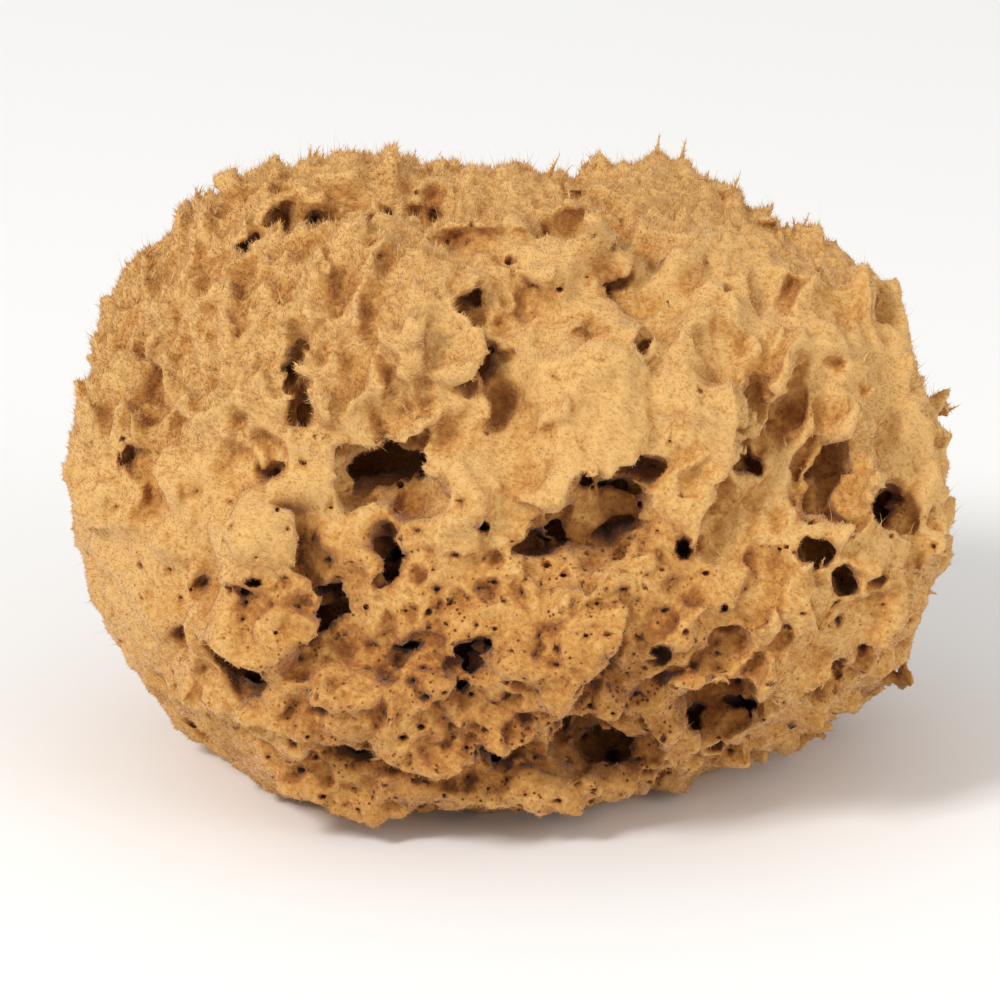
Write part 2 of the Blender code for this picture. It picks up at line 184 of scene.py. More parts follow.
def nearest_seed(points, size):
    """How far, in cells, the nearest seed is, where each cell of the given size holds one."""
    place = points / size
    low = np.floor(place).astype(int)
    nearest = np.full(len(points), 9.0)
    for step in NEIGHBOURS:
        cell = low + step
        seed = cell + SEEDS[tuple((cell % 32).T)]
        nearest = np.minimum(nearest, np.linalg.norm(place - seed, axis=1))
    return nearest


print("noise ready")

# %% [markdown]
# ## The skin, from the solid
# The solid already has the true lobes, folds and caves, but with broad flat faces. We take a
# copy, merge its loose triangles, rebuild it from fine even cells and smooth it. A new body,
# sculpted by eye, would drift away from the solid, and a copy starts out on it.

# %% Copy the solid and make it fine
SKIN_STEP = 0.7  # mm between neighbouring points of the skin
SMOOTH_ROUNDS = 5

node = frame["nodes"]["sponge"]
skin = bpy.data.objects.new("sponge_skin", node.data.copy())
bpy.context.scene.collection.objects.link(skin)
select_only(skin)
bpy.ops.object.mode_set(mode="EDIT")
bpy.ops.mesh.select_all(action="SELECT")
bpy.ops.mesh.remove_doubles(threshold=0.00001)
bpy.ops.object.mode_set(mode="OBJECT")
apply_modifier(skin, "REMESH", mode="VOXEL", voxel_size=SKIN_STEP * MM)
apply_modifier(skin, "SMOOTH", factor=0.5, iterations=SMOOTH_ROUNDS)
print("skin has", len(skin.data.vertices), "points")

# %% [markdown]
# ## Where each kind of growth lies
# The photo shows four kinds of surface. Flame-like scales cover the upper left, long leaning
# streaks the right, a porous felt the lower middle, and a smoother felt the rest. A share from
# 0 to 1 for each kind lets them melt into one another. Behind, where the photo shows nothing,
# patches of scales and of pores take turns.

# %% Shares of flames, plates and pores
def growth_shares(points):
    """How much each point belongs to the flames, the plates and the porous part."""
    across, up = seen_place(points)
    across = across + 5 * soft_noise(points, 18)
    up = up + 5 * soft_noise(points, 16, 7)
    left = 1 - 0.8 * ramp(across, -18, 2)
    flames = np.maximum(ramp(up, -6, 12) * left, 0.8 * ramp(up, 34, 44))
    behind = ramp((LOAF_CENTRE - points) @ FORWARD, 2, 22)
    patches = ramp(soft_noise(points, 21, 31), -0.25, 0.3)
    flames = np.maximum(flames, 0.75 * behind * patches)
    plates = ramp(across, 24, 38) * (1 - 0.4 * flames)
    porous = ramp(-up, 2, 18) * (1 - 0.7 * ramp(np.abs(across + 4), 26, 46))
    porous = np.maximum(porous, 0.8 * behind * (1 - patches))
    return flames, plates, porous


points = read_points(skin)
flames, plates, porous = growth_shares(points)
print("shares of flames, plates, pores:", [round(float(s.mean()), 2) for s in (flames, plates, porous)])

# %% [markdown]
# ## Scales, streaks and hollows
# On the upper left the fibres grow up in overlapping scales: each swells towards a pointed tip
# and drops sharply behind it, which leaves a pocket. On the right the same growth is drawn out
# into long streaks, and low in the middle the felt is eaten away in round hollows. All three
# are patterns of scattered seeds, worked out for every point of the skin at once.

# %% Patterns of scales and hollows
SCALE_SIZES = np.random.default_rng(6).uniform(0.5, 1.0, (32, 32, 32))
HOLLOW_WIDTH = 0.34  # share of a cell


def surface_way(normals, growth):
    """The way that growth runs along the surface at each point."""
    return unit(growth - normals * (normals @ growth)[:, None])


def scales(points, normals, growth, half_width, length):
    """Overlapping scales along the growth: 0 between them, up to 1 at a tip, which ends sharply."""
    along = surface_way(normals, growth)
    across = np.cross(normals, along)
    cell_size = length / 1.5
    low = np.floor(points / cell_size).astype(int)
    height = np.zeros(len(points))
    for step in NEIGHBOURS:
        cell = low + step
        index = tuple((cell % 32).T)
        away = points - (cell + SEEDS[index]) * cell_size
        below = -(away * along).sum(axis=1) / length
        width = half_width * np.sqrt(np.clip(below * 1.7, 0.02, 1.0))
        aside = (away * across).sum(axis=1) / width
        off = np.abs((away * normals).sum(axis=1)) / cell_size
        scale = np.sqrt(np.clip(1 - aside ** 2, 0, 1)) * (1 - below) * np.clip(1.6 - 2 * off, 0, 1)
        height = np.maximum(height, scale * SCALE_SIZES[index] * ((below > 0) & (below < 1)))
    return height


def hollows(points, size):
    """Round hollows, about one in a cell: 1 in the middle of one and 0 between them."""
    return np.exp(-(nearest_seed(points, size) / HOLLOW_WIDTH) ** 2)


print("patterns ready")

# %% Raise the relief
UPWARDS = SKY + RIGHT * 0.12 + np.array((0.0, 0.3, 0.0))
LEANING = SKY + RIGHT * 0.3
CREST_SLIDE = 2.6  # mm, how far the tip of a scale leans over
BENDS = ((7.0, 1.5), (3.2, 0.6))  # size and reach, in mm, of bends that make clean rims ragged
FOOT_FADE = 4.0  # mm above the floor, over which the relief fades in

broad_normals = read_normals(skin)
large_scales = scales(points, broad_normals, UPWARDS, 2.7, 9.0)
small_scales = scales(points, broad_normals, UPWARDS + RIGHT * 0.2, 1.5, 4.8)
streaks = scales(points, broad_normals, LEANING, 2.2, 14.0)
fine_streaks = scales(points, broad_normals, LEANING, 1.3, 7.0)
swell = 0.9 * soft_noise(points, 12) + 0.7 * soft_noise(points, 5.5, 3) + 0.45 * soft_noise(points, 2.4, 9)
plain = (1 - flames) * (1 - plates)
lift = (
    flames * (5.4 * (large_scales - 0.4) + 3.2 * (small_scales - 0.35))
    + plates * (4.8 * (streaks - 0.4) + 2.6 * (fine_streaks - 0.35))
    + plain * 1.7 * (fine_streaks - 0.35)
    + porous * (1.4 - 2.9 * hollows(points, 4.6) - 2.3 * hollows(points + 9, 2.6))
    + swell
)
crest = flames * large_scales ** 2 + 0.5 * plates * streaks ** 2
foot = ramp(points[:, 2], 0.0, FOOT_FADE)
along = surface_way(broad_normals, UPWARDS)
bend = sum(
    reach * np.stack([soft_noise(points, size, shift) for shift in (61, 71, 83)], axis=1)
    for size, reach in BENDS
)
points += (broad_normals * lift[:, None] + along * (CREST_SLIDE * crest)[:, None] + bend) * foot[:, None]
write_points(skin, points)
print("lift from", lift.min().round(2), "to", lift.max().round(2), "mm")

# %% [markdown]
# ## Scoops
# The large caves are open scoops: a ragged upper rim overhangs a floor that slopes out again
# below. Each is an outline of places that the photo shows. Inside it the skin sinks, steeply
# under the upper rim and gently at the lower, and the skin just above slides out over it as a
# lip. A Boolean would leave clean walls, which nothing on a sponge has.

# %% The scoops, as depths in mm and places across and up
SCOOPS = {
    "arched_cave": (7.0, (
        (-27.4, 2.5), (-26.4, 4.9), (-23.9, 6.2), (-19.8, 7.9), (-17.5, 6.6), (-12.6, 5.4), (-12.1, 1.6),
        (-13.9, -2), (-17.2, -0.3), (-20.5, 0.7), (-24.3, -0.3), (-25.2, -3), (-26.9, -2.3),
    )),
    "crescent_cave": (6.5, (
        (-1.5, -11.6), (1, -8.7), (4.1, -6.1), (6.6, -4.1), (10, -1.8), (11.6, 0.7), (14.4, 2), (18.4, 2),
        (20.8, 1), (23.4, -1), (22.6, -4.9), (21.3, -8.2), (16.4, -10.7), (9.8, -11.8), (3.3, -12.8),
    )),
    "oval_cave": (7.5, (
        (27.9, -36.9), (29.8, -35.6), (33.1, -34.4), (36.9, -34.1), (41.8, -34.6), (41.8, -38),
        (40.5, -40.7), (36.9, -43), (32, -44.3), (29.2, -41.8),
    )),
    "wide_cave": (5.5, (
        (5.1, -42.3), (6.2, -39.7), (8.2, -37.9), (13.1, -37.4), (17, -37.7), (19.3, -39.5), (24.6, -40.8),
        (26.2, -42.6), (25.6, -46.7), (23, -48.9), (16.4, -49.5), (10.7, -49.2), (7.5, -48.5), (6.1, -45.4),
    )),
    "through_cave": (9.0, (
        (-4.6, -43.3), (-0.8, -41.5), (3, -39.2), (2.3, -43.3), (0.8, -45.9), (-1.6, -47.9), (-3.9, -47.2),
    )),
    "lower_scoop": (4.5, (
        (-10.2, -26.2), (-9.5, -24.6), (-7.2, -23.9), (-5.1, -24.1), (-5.6, -27), (-6.2, -30.8),
        (-5.6, -35.7), (-7.9, -36.6), (-10.3, -35.7), (-11, -32.8),
    )),
    "toothed_cave": (7.0, (
        (-49.3, -25.9), (-46.1, -27), (-44.3, -29.5), (-41.6, -29.8), (-38, -28.2), (-37.7, -30.8),
        (-39.7, -32.8), (-40.8, -34.3), (-43.3, -33.1), (-45.6, -30.2), (-48.2, -28.2),
    )),
    "block_groove": (6.5, (
        (-34.6, -26.2), (-33.4, -23.9), (-32.5, -19.7), (-30.8, -17.2), (-28, -15.4), (-28.2, -18.4),
        (-29.8, -21.6), (-31.5, -24.3), (-33.4, -26.6),
    )),
    "tooth_hollow": (7.5, (
        (-23.1, -17.9), (-22, -14.8), (-20.7, -11.1), (-18.7, -8.7), (-16.7, -9.8), (-16.7, -12.3),
        (-17.4, -15.6), (-17.7, -17.7), (-20.5, -18),
    )),
    "notch": (6.0, ((-43.1, -1.6), (-42.3, 1.3), (-40.3, 2), (-38.7, 0), (-39, -2.3), (-41.3, -2))),
    "curved_fold": (3.5, (
        (-38.5, 21.3), (-36.1, 21), (-34.4, 17.7), (-32.5, 14.4), (-30.8, 14.4), (-32.5, 12.5),
        (-35.1, 12.1), (-36.9, 14.4), (-38, 17.7),
    )),
    "flap_crevice": (7.0, (
        (-2.6, 27.9), (0.3, 26.6), (1.3, 24.6), (-2, 23.6), (-4.3, 21.3), (-6.6, 18.4), (-7.2, 15.4),
        (-8.5, 17.7), (-8.2, 20.2), (-5.4, 23.3), (-4.8, 25.6),
    )),
    "groove": (4.0, ((4.4, 27.2), (3.3, 24.6), (0.3, 22.1), (0, 19), (-2.6, 19), (-2.6, 22), (-0.3, 24.6))),
    "plate_gap": (7.0, ((17.9, 34.4), (16.7, 32), (14.8, 30.2), (13.8, 32.1), (14.8, 33.4))),
    "tongue_shadow": (4.5, ((15.6, 29.7), (14.8, 27), (13.1, 24.3), (10.5, 25.6), (12.8, 27.4))),
    "upright_slot": (7.0, ((21.3, 25.6), (22.6, 24.6), (22.1, 22.1), (21.3, 20), (20, 19.3), (20.3, 22.1))),
    "left_crevice": (6.0, (
        (-47.4, 38.4), (-43.4, 40), (-40.7, 42.3), (-37.7, 43.4), (-34.4, 44.9), (-33.1, 43.9),
        (-36.1, 41.6), (-39.7, 39.7), (-43.4, 38),
    )),
    "middle_crevice": (5.0, (
        (-25.1, 43.6), (-22.1, 45.1), (-18.4, 46.2), (-14.8, 45.9), (-15.6, 43.9), (-19.7, 43), (-23.3, 42.6),
    )),
    "side_gap": (6.0, ((54.1, 13.4), (55.7, 15.7), (57.7, 16.7), (58, 15.4), (56.1, 12.8))),
    "side_pocket": (6.5, (
        (58, -1.3), (59.3, 1), (61.6, 0.3), (63.3, -3.3), (62.6, -6.9), (60.3, -8.2), (58.4, -5.6),
    )),
    "leaning_slot": (6.5, ((38.4, -0.2), (39.2, 3), (40.3, 5.2), (41, 4.6), (40.3, 2), (39.3, -0.2))),
    "side_groove": (4.5, (
        (57.7, -18.4), (60.7, -16.4), (64.8, -14.8), (66.2, -15.4), (63.9, -17.4), (60.7, -19),
    )),
    "edge_groove": (4.5, (
        (68.9, -9.8), (70.2, -7.5), (71.5, -8.2), (71.5, -12.5), (70.5, -16.1), (68.9, -15.1),
    )),
    "high_hollow": (5.0, ((48.9, 5.6), (49.5, 8.2), (50.8, 8.9), (51.1, 6.9), (50, 5.1))),
    "small_hollow": (5.0, ((42.6, 13.4), (43.1, 16.1), (43.9, 15.7), (43.9, 13.4))),
}
STEEP_WALL = 1.2  # mm, over which the skin sinks beneath an upper rim
GENTLE_WALL = 3.4  # mm, over which it comes up again at a lower rim
LIP_SLIDE = 2.2  # mm, how far the lip slides out over the hollow
LIP_RAISE = 1.2
LIP_WIDTH = 2.0  # mm, how far back from its rim a lip reaches
SCOOP_REACH = 5.0  # mm around a scoop, within which it moves the skin
RIM_GAP = 0.3  # mm from a rim, within which the slide fades to nothing


def smooth_line(places, spacing=0.8):
    """The same line with points at an even spacing, its corners rounded a little."""
    places = np.array(places, dtype=float)
    quarter = places[:-1] * 0.75 + places[1:] * 0.25
    last_quarter = places[:-1] * 0.25 + places[1:] * 0.75
    between = np.stack((quarter, last_quarter), axis=1).reshape(-1, 2)
    places = np.concatenate((places[:1], between, places[-1:]))
    steps = np.linalg.norm(np.diff(places, axis=0), axis=1)
    along = np.concatenate(((0,), np.cumsum(steps)))
    wanted = np.linspace(0, along[-1], max(4, int(along[-1] / spacing)))
    return np.stack([np.interp(wanted, along, places[:, k]) for k in (0, 1)], axis=1), wanted


def nearest_on(line, seen, reach):
    """The places within reach of a line, the nearest point of it, and the way from there."""
    low, high = line.min(axis=0) - reach, line.max(axis=0) + reach
    near = np.flatnonzero(((seen > low) & (seen < high)).all(axis=1))
    away = seen[near][:, None, :] - line[None, :, :]
    nearest = np.linalg.norm(away, axis=2).argmin(axis=1)
    offset = away[np.arange(len(near)), nearest]
    return near, nearest, offset, np.linalg.norm(offset, axis=1)


def is_inside(line, places):
    """Whether each place is inside a closed line, by counting the edges to its right."""
    start, end = line, np.roll(line, -1, axis=0)
    x, y = places[:, :1], places[:, 1:]
    crosses = (start[:, 1] > y) != (end[:, 1] > y)
    rise = np.where(end[:, 1] == start[:, 1], 1e-9, end[:, 1] - start[:, 1])
    edge = start[:, 0] + (y - start[:, 1]) / rise * (end[:, 0] - start[:, 0])
    return (crosses & (x < edge)).sum(axis=1) % 2 == 1


print(len(SCOOPS), "scoops listed")

# %% Sink the scoops
ragged = np.stack([
    0.9 * soft_noise(points, 2.6, shift) + 0.5 * soft_noise(points, 1.2, shift + 2)
    for shift in (51, 57)
], axis=1)
seen = np.stack(seen_place(points), axis=1) + ragged
sunk = np.zeros(len(points))
slide = np.zeros((len(points), 2))
for depth, outline in SCOOPS.values():
    line, _ = smooth_line(outline + outline[:1])
    near, _, offset, distance = nearest_on(line, seen, SCOOP_REACH)
    inside = is_inside(line, seen[near])
    wall = np.where(offset[:, 1] < 0, STEEP_WALL, GENTLE_WALL)
    sink = np.where(inside, -depth * ramp(distance, 0.0, wall), 0.0)
    lip = np.where(~inside & (offset[:, 1] > 0), np.exp(-(distance / LIP_WIDTH) ** 2), 0.0)
    sunk[near] = np.minimum(sunk[near], sink) + LIP_RAISE * lip
    slide[near] -= offset / np.maximum(distance, RIM_GAP)[:, None] * (LIP_SLIDE * lip)[:, None]
print("deepest scoop", sunk.min().round(1), "mm")

# %% [markdown]
# ## Ledges
# Where one plate of the skeleton has grown over another, its edge overhangs and throws a dark
# line. Each ledge is a line of places, walked so that the raised plate is on the left hand. The
# skin steps down across the line, and the raised edge slides out over the lower side.

# %% The ledges, as drops and reaches in mm and places across and up
LEDGES = {
    "flap_edge": (6.0, 8.0, (
        (-4.3, 7.7), (-6.2, 14.6), (-7.5, 15.2), (-8.5, 18), (-8.2, 20.2), (-5.4, 23.3), (-4.8, 25.6),
        (-2.8, 28.9), (-3.8, 31.6), (-6.2, 34.4),
    )),
    "crown_plate": (4.5, 6.0, (
        (14.8, 33.6), (17.2, 35.7), (18.7, 37.5), (16.1, 39.3), (13.1, 41.3), (10.2, 43.1), (6.2, 44.6),
    )),
    "tongue": (4.5, 5.0, ((8.5, 24.6), (10.5, 25.6), (12.8, 27.2), (15.6, 29.7), (14.3, 31))),
    "middle_side": (5.5, 7.0, (
        (27.5, -13), (30.3, -5.4), (32.8, -1.3), (33.9, 1.5), (35.1, 7.7), (35.1, 11.8), (33, 16.6),
    )),
    "block_side": (6.0, 7.0, (
        (-34.9, -25.6), (-33.8, -23.6), (-33.1, -20.3), (-34.6, -17.9), (-37.9, -14.6), (-38.7, -9.3),
        (-39, -2.8),
    )),
    "plateau": (4.5, 7.0, (
        (-4.4, -43.1), (3, -39.2), (7.9, -35.6), (9.7, -32.5), (13.1, -29.8), (14.9, -26.9),
        (17.9, -23.8), (18.4, -18),
    )),
    "mound": (3.0, 5.0, (
        (-16.2, -38.7), (-14.3, -37), (-11, -35.1), (-10.3, -31), (-9.7, -28.5), (-10.2, -25.6),
    )),
    "fluted_ledge": (2.5, 5.0, (
        (-13.1, 42.3), (-9.8, 41), (-6.6, 42.3), (-1.6, 41.3), (4.1, 41.3), (6.6, 43.9),
    )),
    "near_plate": (3.6, 4.5, ((35.8, -5.4), (38.4, 2.0), (40.6, 9.0), (42.6, 15.0))),
    "next_plate": (3.6, 4.5, ((43.0, -4.8), (45.0, 2.0), (47.0, 8.0), (49.6, 14.6))),
    "pocket_side": (3.5, 6.0, ((60.2, -8.2), (57.7, -5.7), (59.0, 3.4), (56.6, 10.0), (55.2, 14.3))),
    "frayed_side": (2.8, 5.0, ((50.4, -27.0), (48.2, -19.0), (46.9, -12.0), (47.6, -7.0))),
    "low_rim": (3.0, 6.0, ((49.8, -42.1), (51.3, -40.3), (51.0, -33.6))),
    "shoulder": (2.5, 5.0, ((25.0, 16.0), (22.0, 18.6), (18.0, 20.6), (11.5, 23.6))),
    "left_band": (2.5, 4.0, ((-57.0, -34.0), (-46.0, -38.6), (-33.0, -42.4), (-22.0, -42.0))),
}
RAISED_SHARE = 0.42  # of the drop, by which the raised side comes up
RAISED_REACH = 4.5  # mm
LEDGE_END = 3.0  # mm, over which a ledge fades out at its ends

for drop, reach, places in LEDGES.values():
    line, walked = smooth_line(places)
    near, nearest, offset, distance = nearest_on(line, seen, 3 * reach)
    travel = np.gradient(line, axis=0)[nearest]
    left = travel[:, 0] * offset[:, 1] - travel[:, 1] * offset[:, 0] > 0
    ends = ramp(walked[nearest], 0, LEDGE_END) * ramp(walked[-1] - walked[nearest], 0, LEDGE_END)
    up_side = RAISED_SHARE * np.exp(-(distance / RAISED_REACH) ** 2)
    low_side = -(1 - RAISED_SHARE) * np.exp(-(distance / reach) ** 2)
    sunk[near] += drop * np.where(left, up_side, low_side) * ends
    lip = np.where(left, np.exp(-(distance / LIP_WIDTH) ** 2), 0.0) * ends * drop / 4
    slide[near] -= offset / np.maximum(distance, RIM_GAP)[:, None] * (LIP_SLIDE * lip)[:, None]
print(len(LEDGES), "ledges; lowest", sunk.min().round(1), "highest", sunk.max().round(1), "mm")

# %% Move the skin and rebuild it evenly
DEEPEST = -9.5  # mm
HIGHEST = 2.4
SLIDE_LIMIT = 2.8
FINE_STEP = 0.6  # mm between neighbouring points of the rebuilt skin

front = ramp(broad_normals @ FORWARD, -0.05, 0.4) * ramp((points - LOAF_CENTRE) @ FORWARD, 0, 8)
out_way = unit(FORWARD * 0.6 + broad_normals)
slide = np.clip(slide, -SLIDE_LIMIT, SLIDE_LIMIT)
move = out_way * np.clip(sunk, DEEPEST, HIGHEST)[:, None] + slide[:, :1] * RIGHT + slide[:, 1:] * UP
points += move * (front * foot)[:, None]
write_points(skin, points)
apply_modifier(skin, "REMESH", mode="VOXEL", voxel_size=FINE_STEP * MM)
apply_modifier(skin, "SMOOTH", factor=0.5, iterations=1)


def keep_body(piece):
    """Deletes slivers that a cut has left loose, by keeping all that hangs on the lowest point."""
    lowest = int(read_points(piece)[:, 2].argmin())
    select_only(piece)
    bpy.ops.object.mode_set(mode="EDIT")
    bpy.ops.mesh.select_mode(type="VERT")
    bpy.ops.mesh.select_all(action="DESELECT")
    bpy.ops.object.mode_set(mode="OBJECT")
    piece.data.vertices[lowest].select = True
    bpy.ops.object.mode_set(mode="EDIT")
    bpy.ops.mesh.select_linked()
    bpy.ops.mesh.select_all(action="INVERT")
    bpy.ops.mesh.delete(type="VERT")
    bpy.ops.object.mode_set(mode="OBJECT")


keep_body(skin)
print("the rebuilt skin has", len(skin.data.polygons), "faces")

# %% [markdown]
# ## Pores
# Fine round pores cover the felt, most of them low in the middle. Each is one tapered pit,
# modelled once and copied, and a Boolean cuts them all at once, which gives the crisp rims
# that a lift of the skin can't. The skin is thinned first, so that the cut stays quick.

# %% One pit, from a cone
PIT_SIDES = 7
SKIN_TRIANGLES = 137_000  # before the pores, which add about 57,000

bpy.ops.object.select_all(action="DESELECT")
bpy.ops.mesh.primitive_cone_add(vertices=PIT_SIDES, radius1=0.28, radius2=0.62, depth=1.0)
pit = bpy.context.object
bpy.ops.object.mode_set(mode="EDIT")
bpy.ops.mesh.select_all(action="SELECT")
bpy.ops.transform.translate(value=(0, 0, -0.3))
bpy.ops.object.mode_set(mode="OBJECT")
pit_points = np.array([tuple(v.co) for v in pit.data.vertices])
pit_faces = [tuple(face.vertices) for face in pit.data.polygons]
bpy.data.objects.remove(pit)
now = sum(len(face.vertices) - 2 for face in skin.data.polygons)
apply_modifier(skin, "DECIMATE", ratio=SKIN_TRIANGLES / now)
print("one pit has", len(pit_faces), "faces; the skin has", len(skin.data.polygons))

# %% Scatter the pits and cut them
HOLES = {  # place across and up, half width, half height and depth, all in mm
    "side_hole": (28.5, -11.3, 1.6, 2.1, 11.0),
    "rim_hole": (-4.3, -7.7, 1.1, 1.1, 7.0),
    "scoop_hole": (-3.1, -26.4, 1.4, 0.9, 7.0),
    "low_right_hole": (24.8, -28.2, 2.2, 1.3, 8.0),
    "round_hole": (-23.6, -20.8, 0.5, 0.5, 5.0),
    "flat_hole": (-16.7, -27.0, 2.2, 0.8, 8.0),
    "far_hole": (35.2, -21.0, 0.7, 0.7, 5.0),
    "bottom_hole": (-24.1, -45.1, 2.2, 1.1, 8.0),
    "left_hole": (-42.1, -16.9, 1.6, 0.9, 7.0),
    "crescent_hole": (12.3, 0.0, 1.5, 1.2, 7.0),
    "wide_hole": (17.0, -45.2, 1.5, 1.2, 6.0),
    "oval_hole": (39.5, -36.6, 1.8, 1.4, 7.0),
    "floor_hole": (21.5, -4.0, 0.8, 0.7, 4.0),
    "lobe_hole": (-18.0, -0.8, 0.8, 0.8, 5.0),
}
PITS = 2400
PIT_SPACING = 2.3  # mm, so that no two cutters meet, which would stall the Boolean
HOLE_ROOM = 4.5  # mm around each named hole
HOLE_WIDER = 1.8  # brings the pit's radius at the skin, about 0.55, up to a hole's half width
PIT_ABOVE = 1.5  # mm above the floor, the lowest that a pore is cut
PIT_WIDTH = (0.5, 1.4)  # mm
PIT_DEPTH = (1.6, 3.0)


def spread_out(points, order, spacing):
    """Picks points in the given order, and leaves out those that are too near an earlier one."""
    kept = {}
    for index in order:
        cell = tuple(int(v) for v in points[index] // spacing)
        around = [(cell[0] + i, cell[1] + j, cell[2] + k) for i, j, k in NEIGHBOURS]
        near = [kept[key] for key in around if key in kept]
        if cell not in kept and all(np.linalg.norm(points[index] - points[o]) > spacing for o in near):
            kept[cell] = index
    return list(kept.values())


def place_on_skin(across, up):
    """The point of the skin, in mm, that the view shows at a place."""
    target = LOAF_CENTRE + RIGHT * across + UP * up
    return np.array(skin.ray_cast(Vector(eye * MM), Vector(target - eye).normalized())[1]) / MM


hole_places = {name: place_on_skin(hole[0], hole[1]) for name, hole in HOLES.items()}

chance = np.random.default_rng(7)
points, normals = read_points(skin), read_normals(skin)
flames, plates, porous = growth_shares(points)
patchy = ramp(soft_noise(points, 7, 17), -0.3, 0.4)
liking = (0.12 + 2.4 * porous * (0.25 + patchy)) * (1 - 0.75 * flames) * (1 - 0.5 * plates)
liking = liking * (points[:, 2] > PIT_ABOVE)
for place in hole_places.values():
    liking = liking * (np.linalg.norm(points - place, axis=1) > HOLE_ROOM)
drawn = chance.choice(len(points), PITS, replace=False, p=liking / liking.sum())
chosen = spread_out(points, drawn, PIT_SPACING)
pit_corners, pit_rings = [], []
for index in chosen:
    width = PIT_WIDTH[0] + (PIT_WIDTH[1] - PIT_WIDTH[0]) * chance.random() ** 2
    out = unit((normals[index] + chance.normal(0, 0.25, 3))[None])[0]
    turn = np.array(Vector(out).to_track_quat("Z", "Y").to_matrix())
    depth = chance.uniform(*PIT_DEPTH)
    shape = pit_points * (width, width * chance.uniform(0.6, 1.0), depth)
    start = len(pit_corners) * len(pit_points)
    pit_corners.append(points[index] + shape @ turn.T)
    pit_rings += [tuple(start + corner for corner in face) for face in pit_faces]
for name, (across, up, half_width, half_height, depth) in HOLES.items():
    start = len(pit_corners) * len(pit_points)
    shape = pit_points * (half_width * HOLE_WIDER, half_height * HOLE_WIDER, depth)
    pit_corners.append(hole_places[name] + shape @ np.stack((RIGHT, UP, FORWARD)))
    pit_rings += [tuple(start + corner for corner in face) for face in pit_faces]
cutter_mesh = bpy.data.meshes.new("pore_cutter")
cutter_mesh.from_pydata(np.concatenate(pit_corners) * MM, [], pit_rings)
cutter = bpy.data.objects.new("pore_cutter", cutter_mesh)
bpy.context.scene.collection.objects.link(cutter)
apply_modifier(skin, "BOOLEAN", operation="DIFFERENCE", object=cutter, solver="MANIFOLD")
bpy.data.objects.remove(cutter)
keep_body(skin)
select_only(skin)
bpy.ops.object.shade_smooth()
print(len(chosen), "pores cut; the skin has", len(skin.data.polygons), "faces")

# %% [markdown]
# ## How open each place is
# The hollows are painted darker and more orange than the crests: painted shade, where less light
# reaches them. Rays sent out from each point show how much of the sky it sees, and the
# result is stored on the skin for the material and for the fibres.

# %% Measure the openness
RAY_REACH = 14.0  # mm
RAYS = 9
LOWER_TINT_AND_SHADE = 0.14  # darker and browner towards the foot: partly the sponge's own browner tint, partly painted shade of the underside, which the lamp from above reaches less
LOWER_RANGE = (-12, 42)  # mm below the middle, over which that sets in
POROUS_TINT_AND_SHADE = 0.12  # the porous felt is darker too: partly its own browner tint, partly painted shade of its many pores

points, normals = read_points(skin), read_normals(skin)
skin.data.calc_loop_triangles()
triangles = np.empty(len(skin.data.loop_triangles) * 3, dtype=int)
skin.data.loop_triangles.foreach_get("vertices", triangles)
triangles = triangles.reshape(-1, 3)
skin_tree = BVHTree.FromPolygons(points.tolist(), triangles.tolist())
rays = unit(np.random.default_rng(9).normal(0, 1, (RAYS, 3)))
openness = np.zeros(len(points))
for ray in rays:
    ways = unit(normals * 1.1 + ray)
    starts = points + normals * 0.15
    for index in range(len(points)):
        hit = skin_tree.ray_cast(starts[index], ways[index], RAY_REACH)[3]
        openness[index] += 1.0 if hit is None else hit / RAY_REACH
openness /= RAYS


def write_looks(piece, places, open_share, tip=None, tone=None):
    """Stores what the materials read: a lightness with painted shade in hollows, low down and in the porous
    felt, how porous the place is, and the fibre's own.
    """
    flames, plates, porous = growth_shares(places)
    # Lower in the view the lightness drops: partly the sponge's own browner tint, partly painted shade of the
    # underside.
    lower = ramp(-seen_place(places)[1], *LOWER_RANGE)
    # In the porous felt the lightness drops: partly its own browner tint, partly painted shade of its pores.
    write_attribute(piece, "lightness", open_share - LOWER_TINT_AND_SHADE * lower - POROUS_TINT_AND_SHADE * porous)
    write_attribute(piece, "porous", 0.35 * (1 - flames) + 0.65 * porous)
    for name, values in (("tip", tip), ("tone", tone)):
        if values is not None:
            write_attribute(piece, name, values)


# Painted shade: the skin's colour goes darker and more orange where it sees less of the sky.
write_looks(skin, points, openness)
print("openness, mean:", openness.mean().round(2), "lowest:", openness.min().round(2))

# %% [markdown]
# ## Tufts
# Along the crests the fibres grow together into pointed tufts, 1 to 3 mm long, that curl up
# like flames. About two thousand of them repeat one form, so one is modelled from a cone and
# flattened, and each copy is bent its own way. They are a piece of their own, because cutting
# or joining so many into the skin would take minutes and change nothing that shows.

# %% One tuft, from a cone
TUFT_FLATNESS = 0.45  # thickness as a share of width

bpy.ops.object.select_all(action="DESELECT")
bpy.ops.mesh.primitive_cone_add(vertices=6, radius1=0.5, radius2=0.02, depth=1.0, location=(0, 0, 0.5))
tuft = bpy.context.object
bpy.ops.object.transform_apply(location=True)
bpy.ops.object.mode_set(mode="EDIT")
for height in (0.25, 0.5, 0.75):
    bpy.ops.mesh.select_all(action="SELECT")
    bpy.ops.mesh.bisect(plane_co=(0, 0, height), plane_no=(0, 0, 1))
bpy.ops.mesh.select_all(action="SELECT")
bpy.ops.mesh.quads_convert_to_tris()
bpy.ops.object.mode_set(mode="OBJECT")
tuft_points = np.array([tuple(v.co) for v in tuft.data.vertices])
tuft_faces = np.array([tuple(face.vertices) for face in tuft.data.polygons if len(face.vertices) == 3])
tuft_points[:, 1] *= TUFT_FLATNESS
bpy.data.objects.remove(tuft)
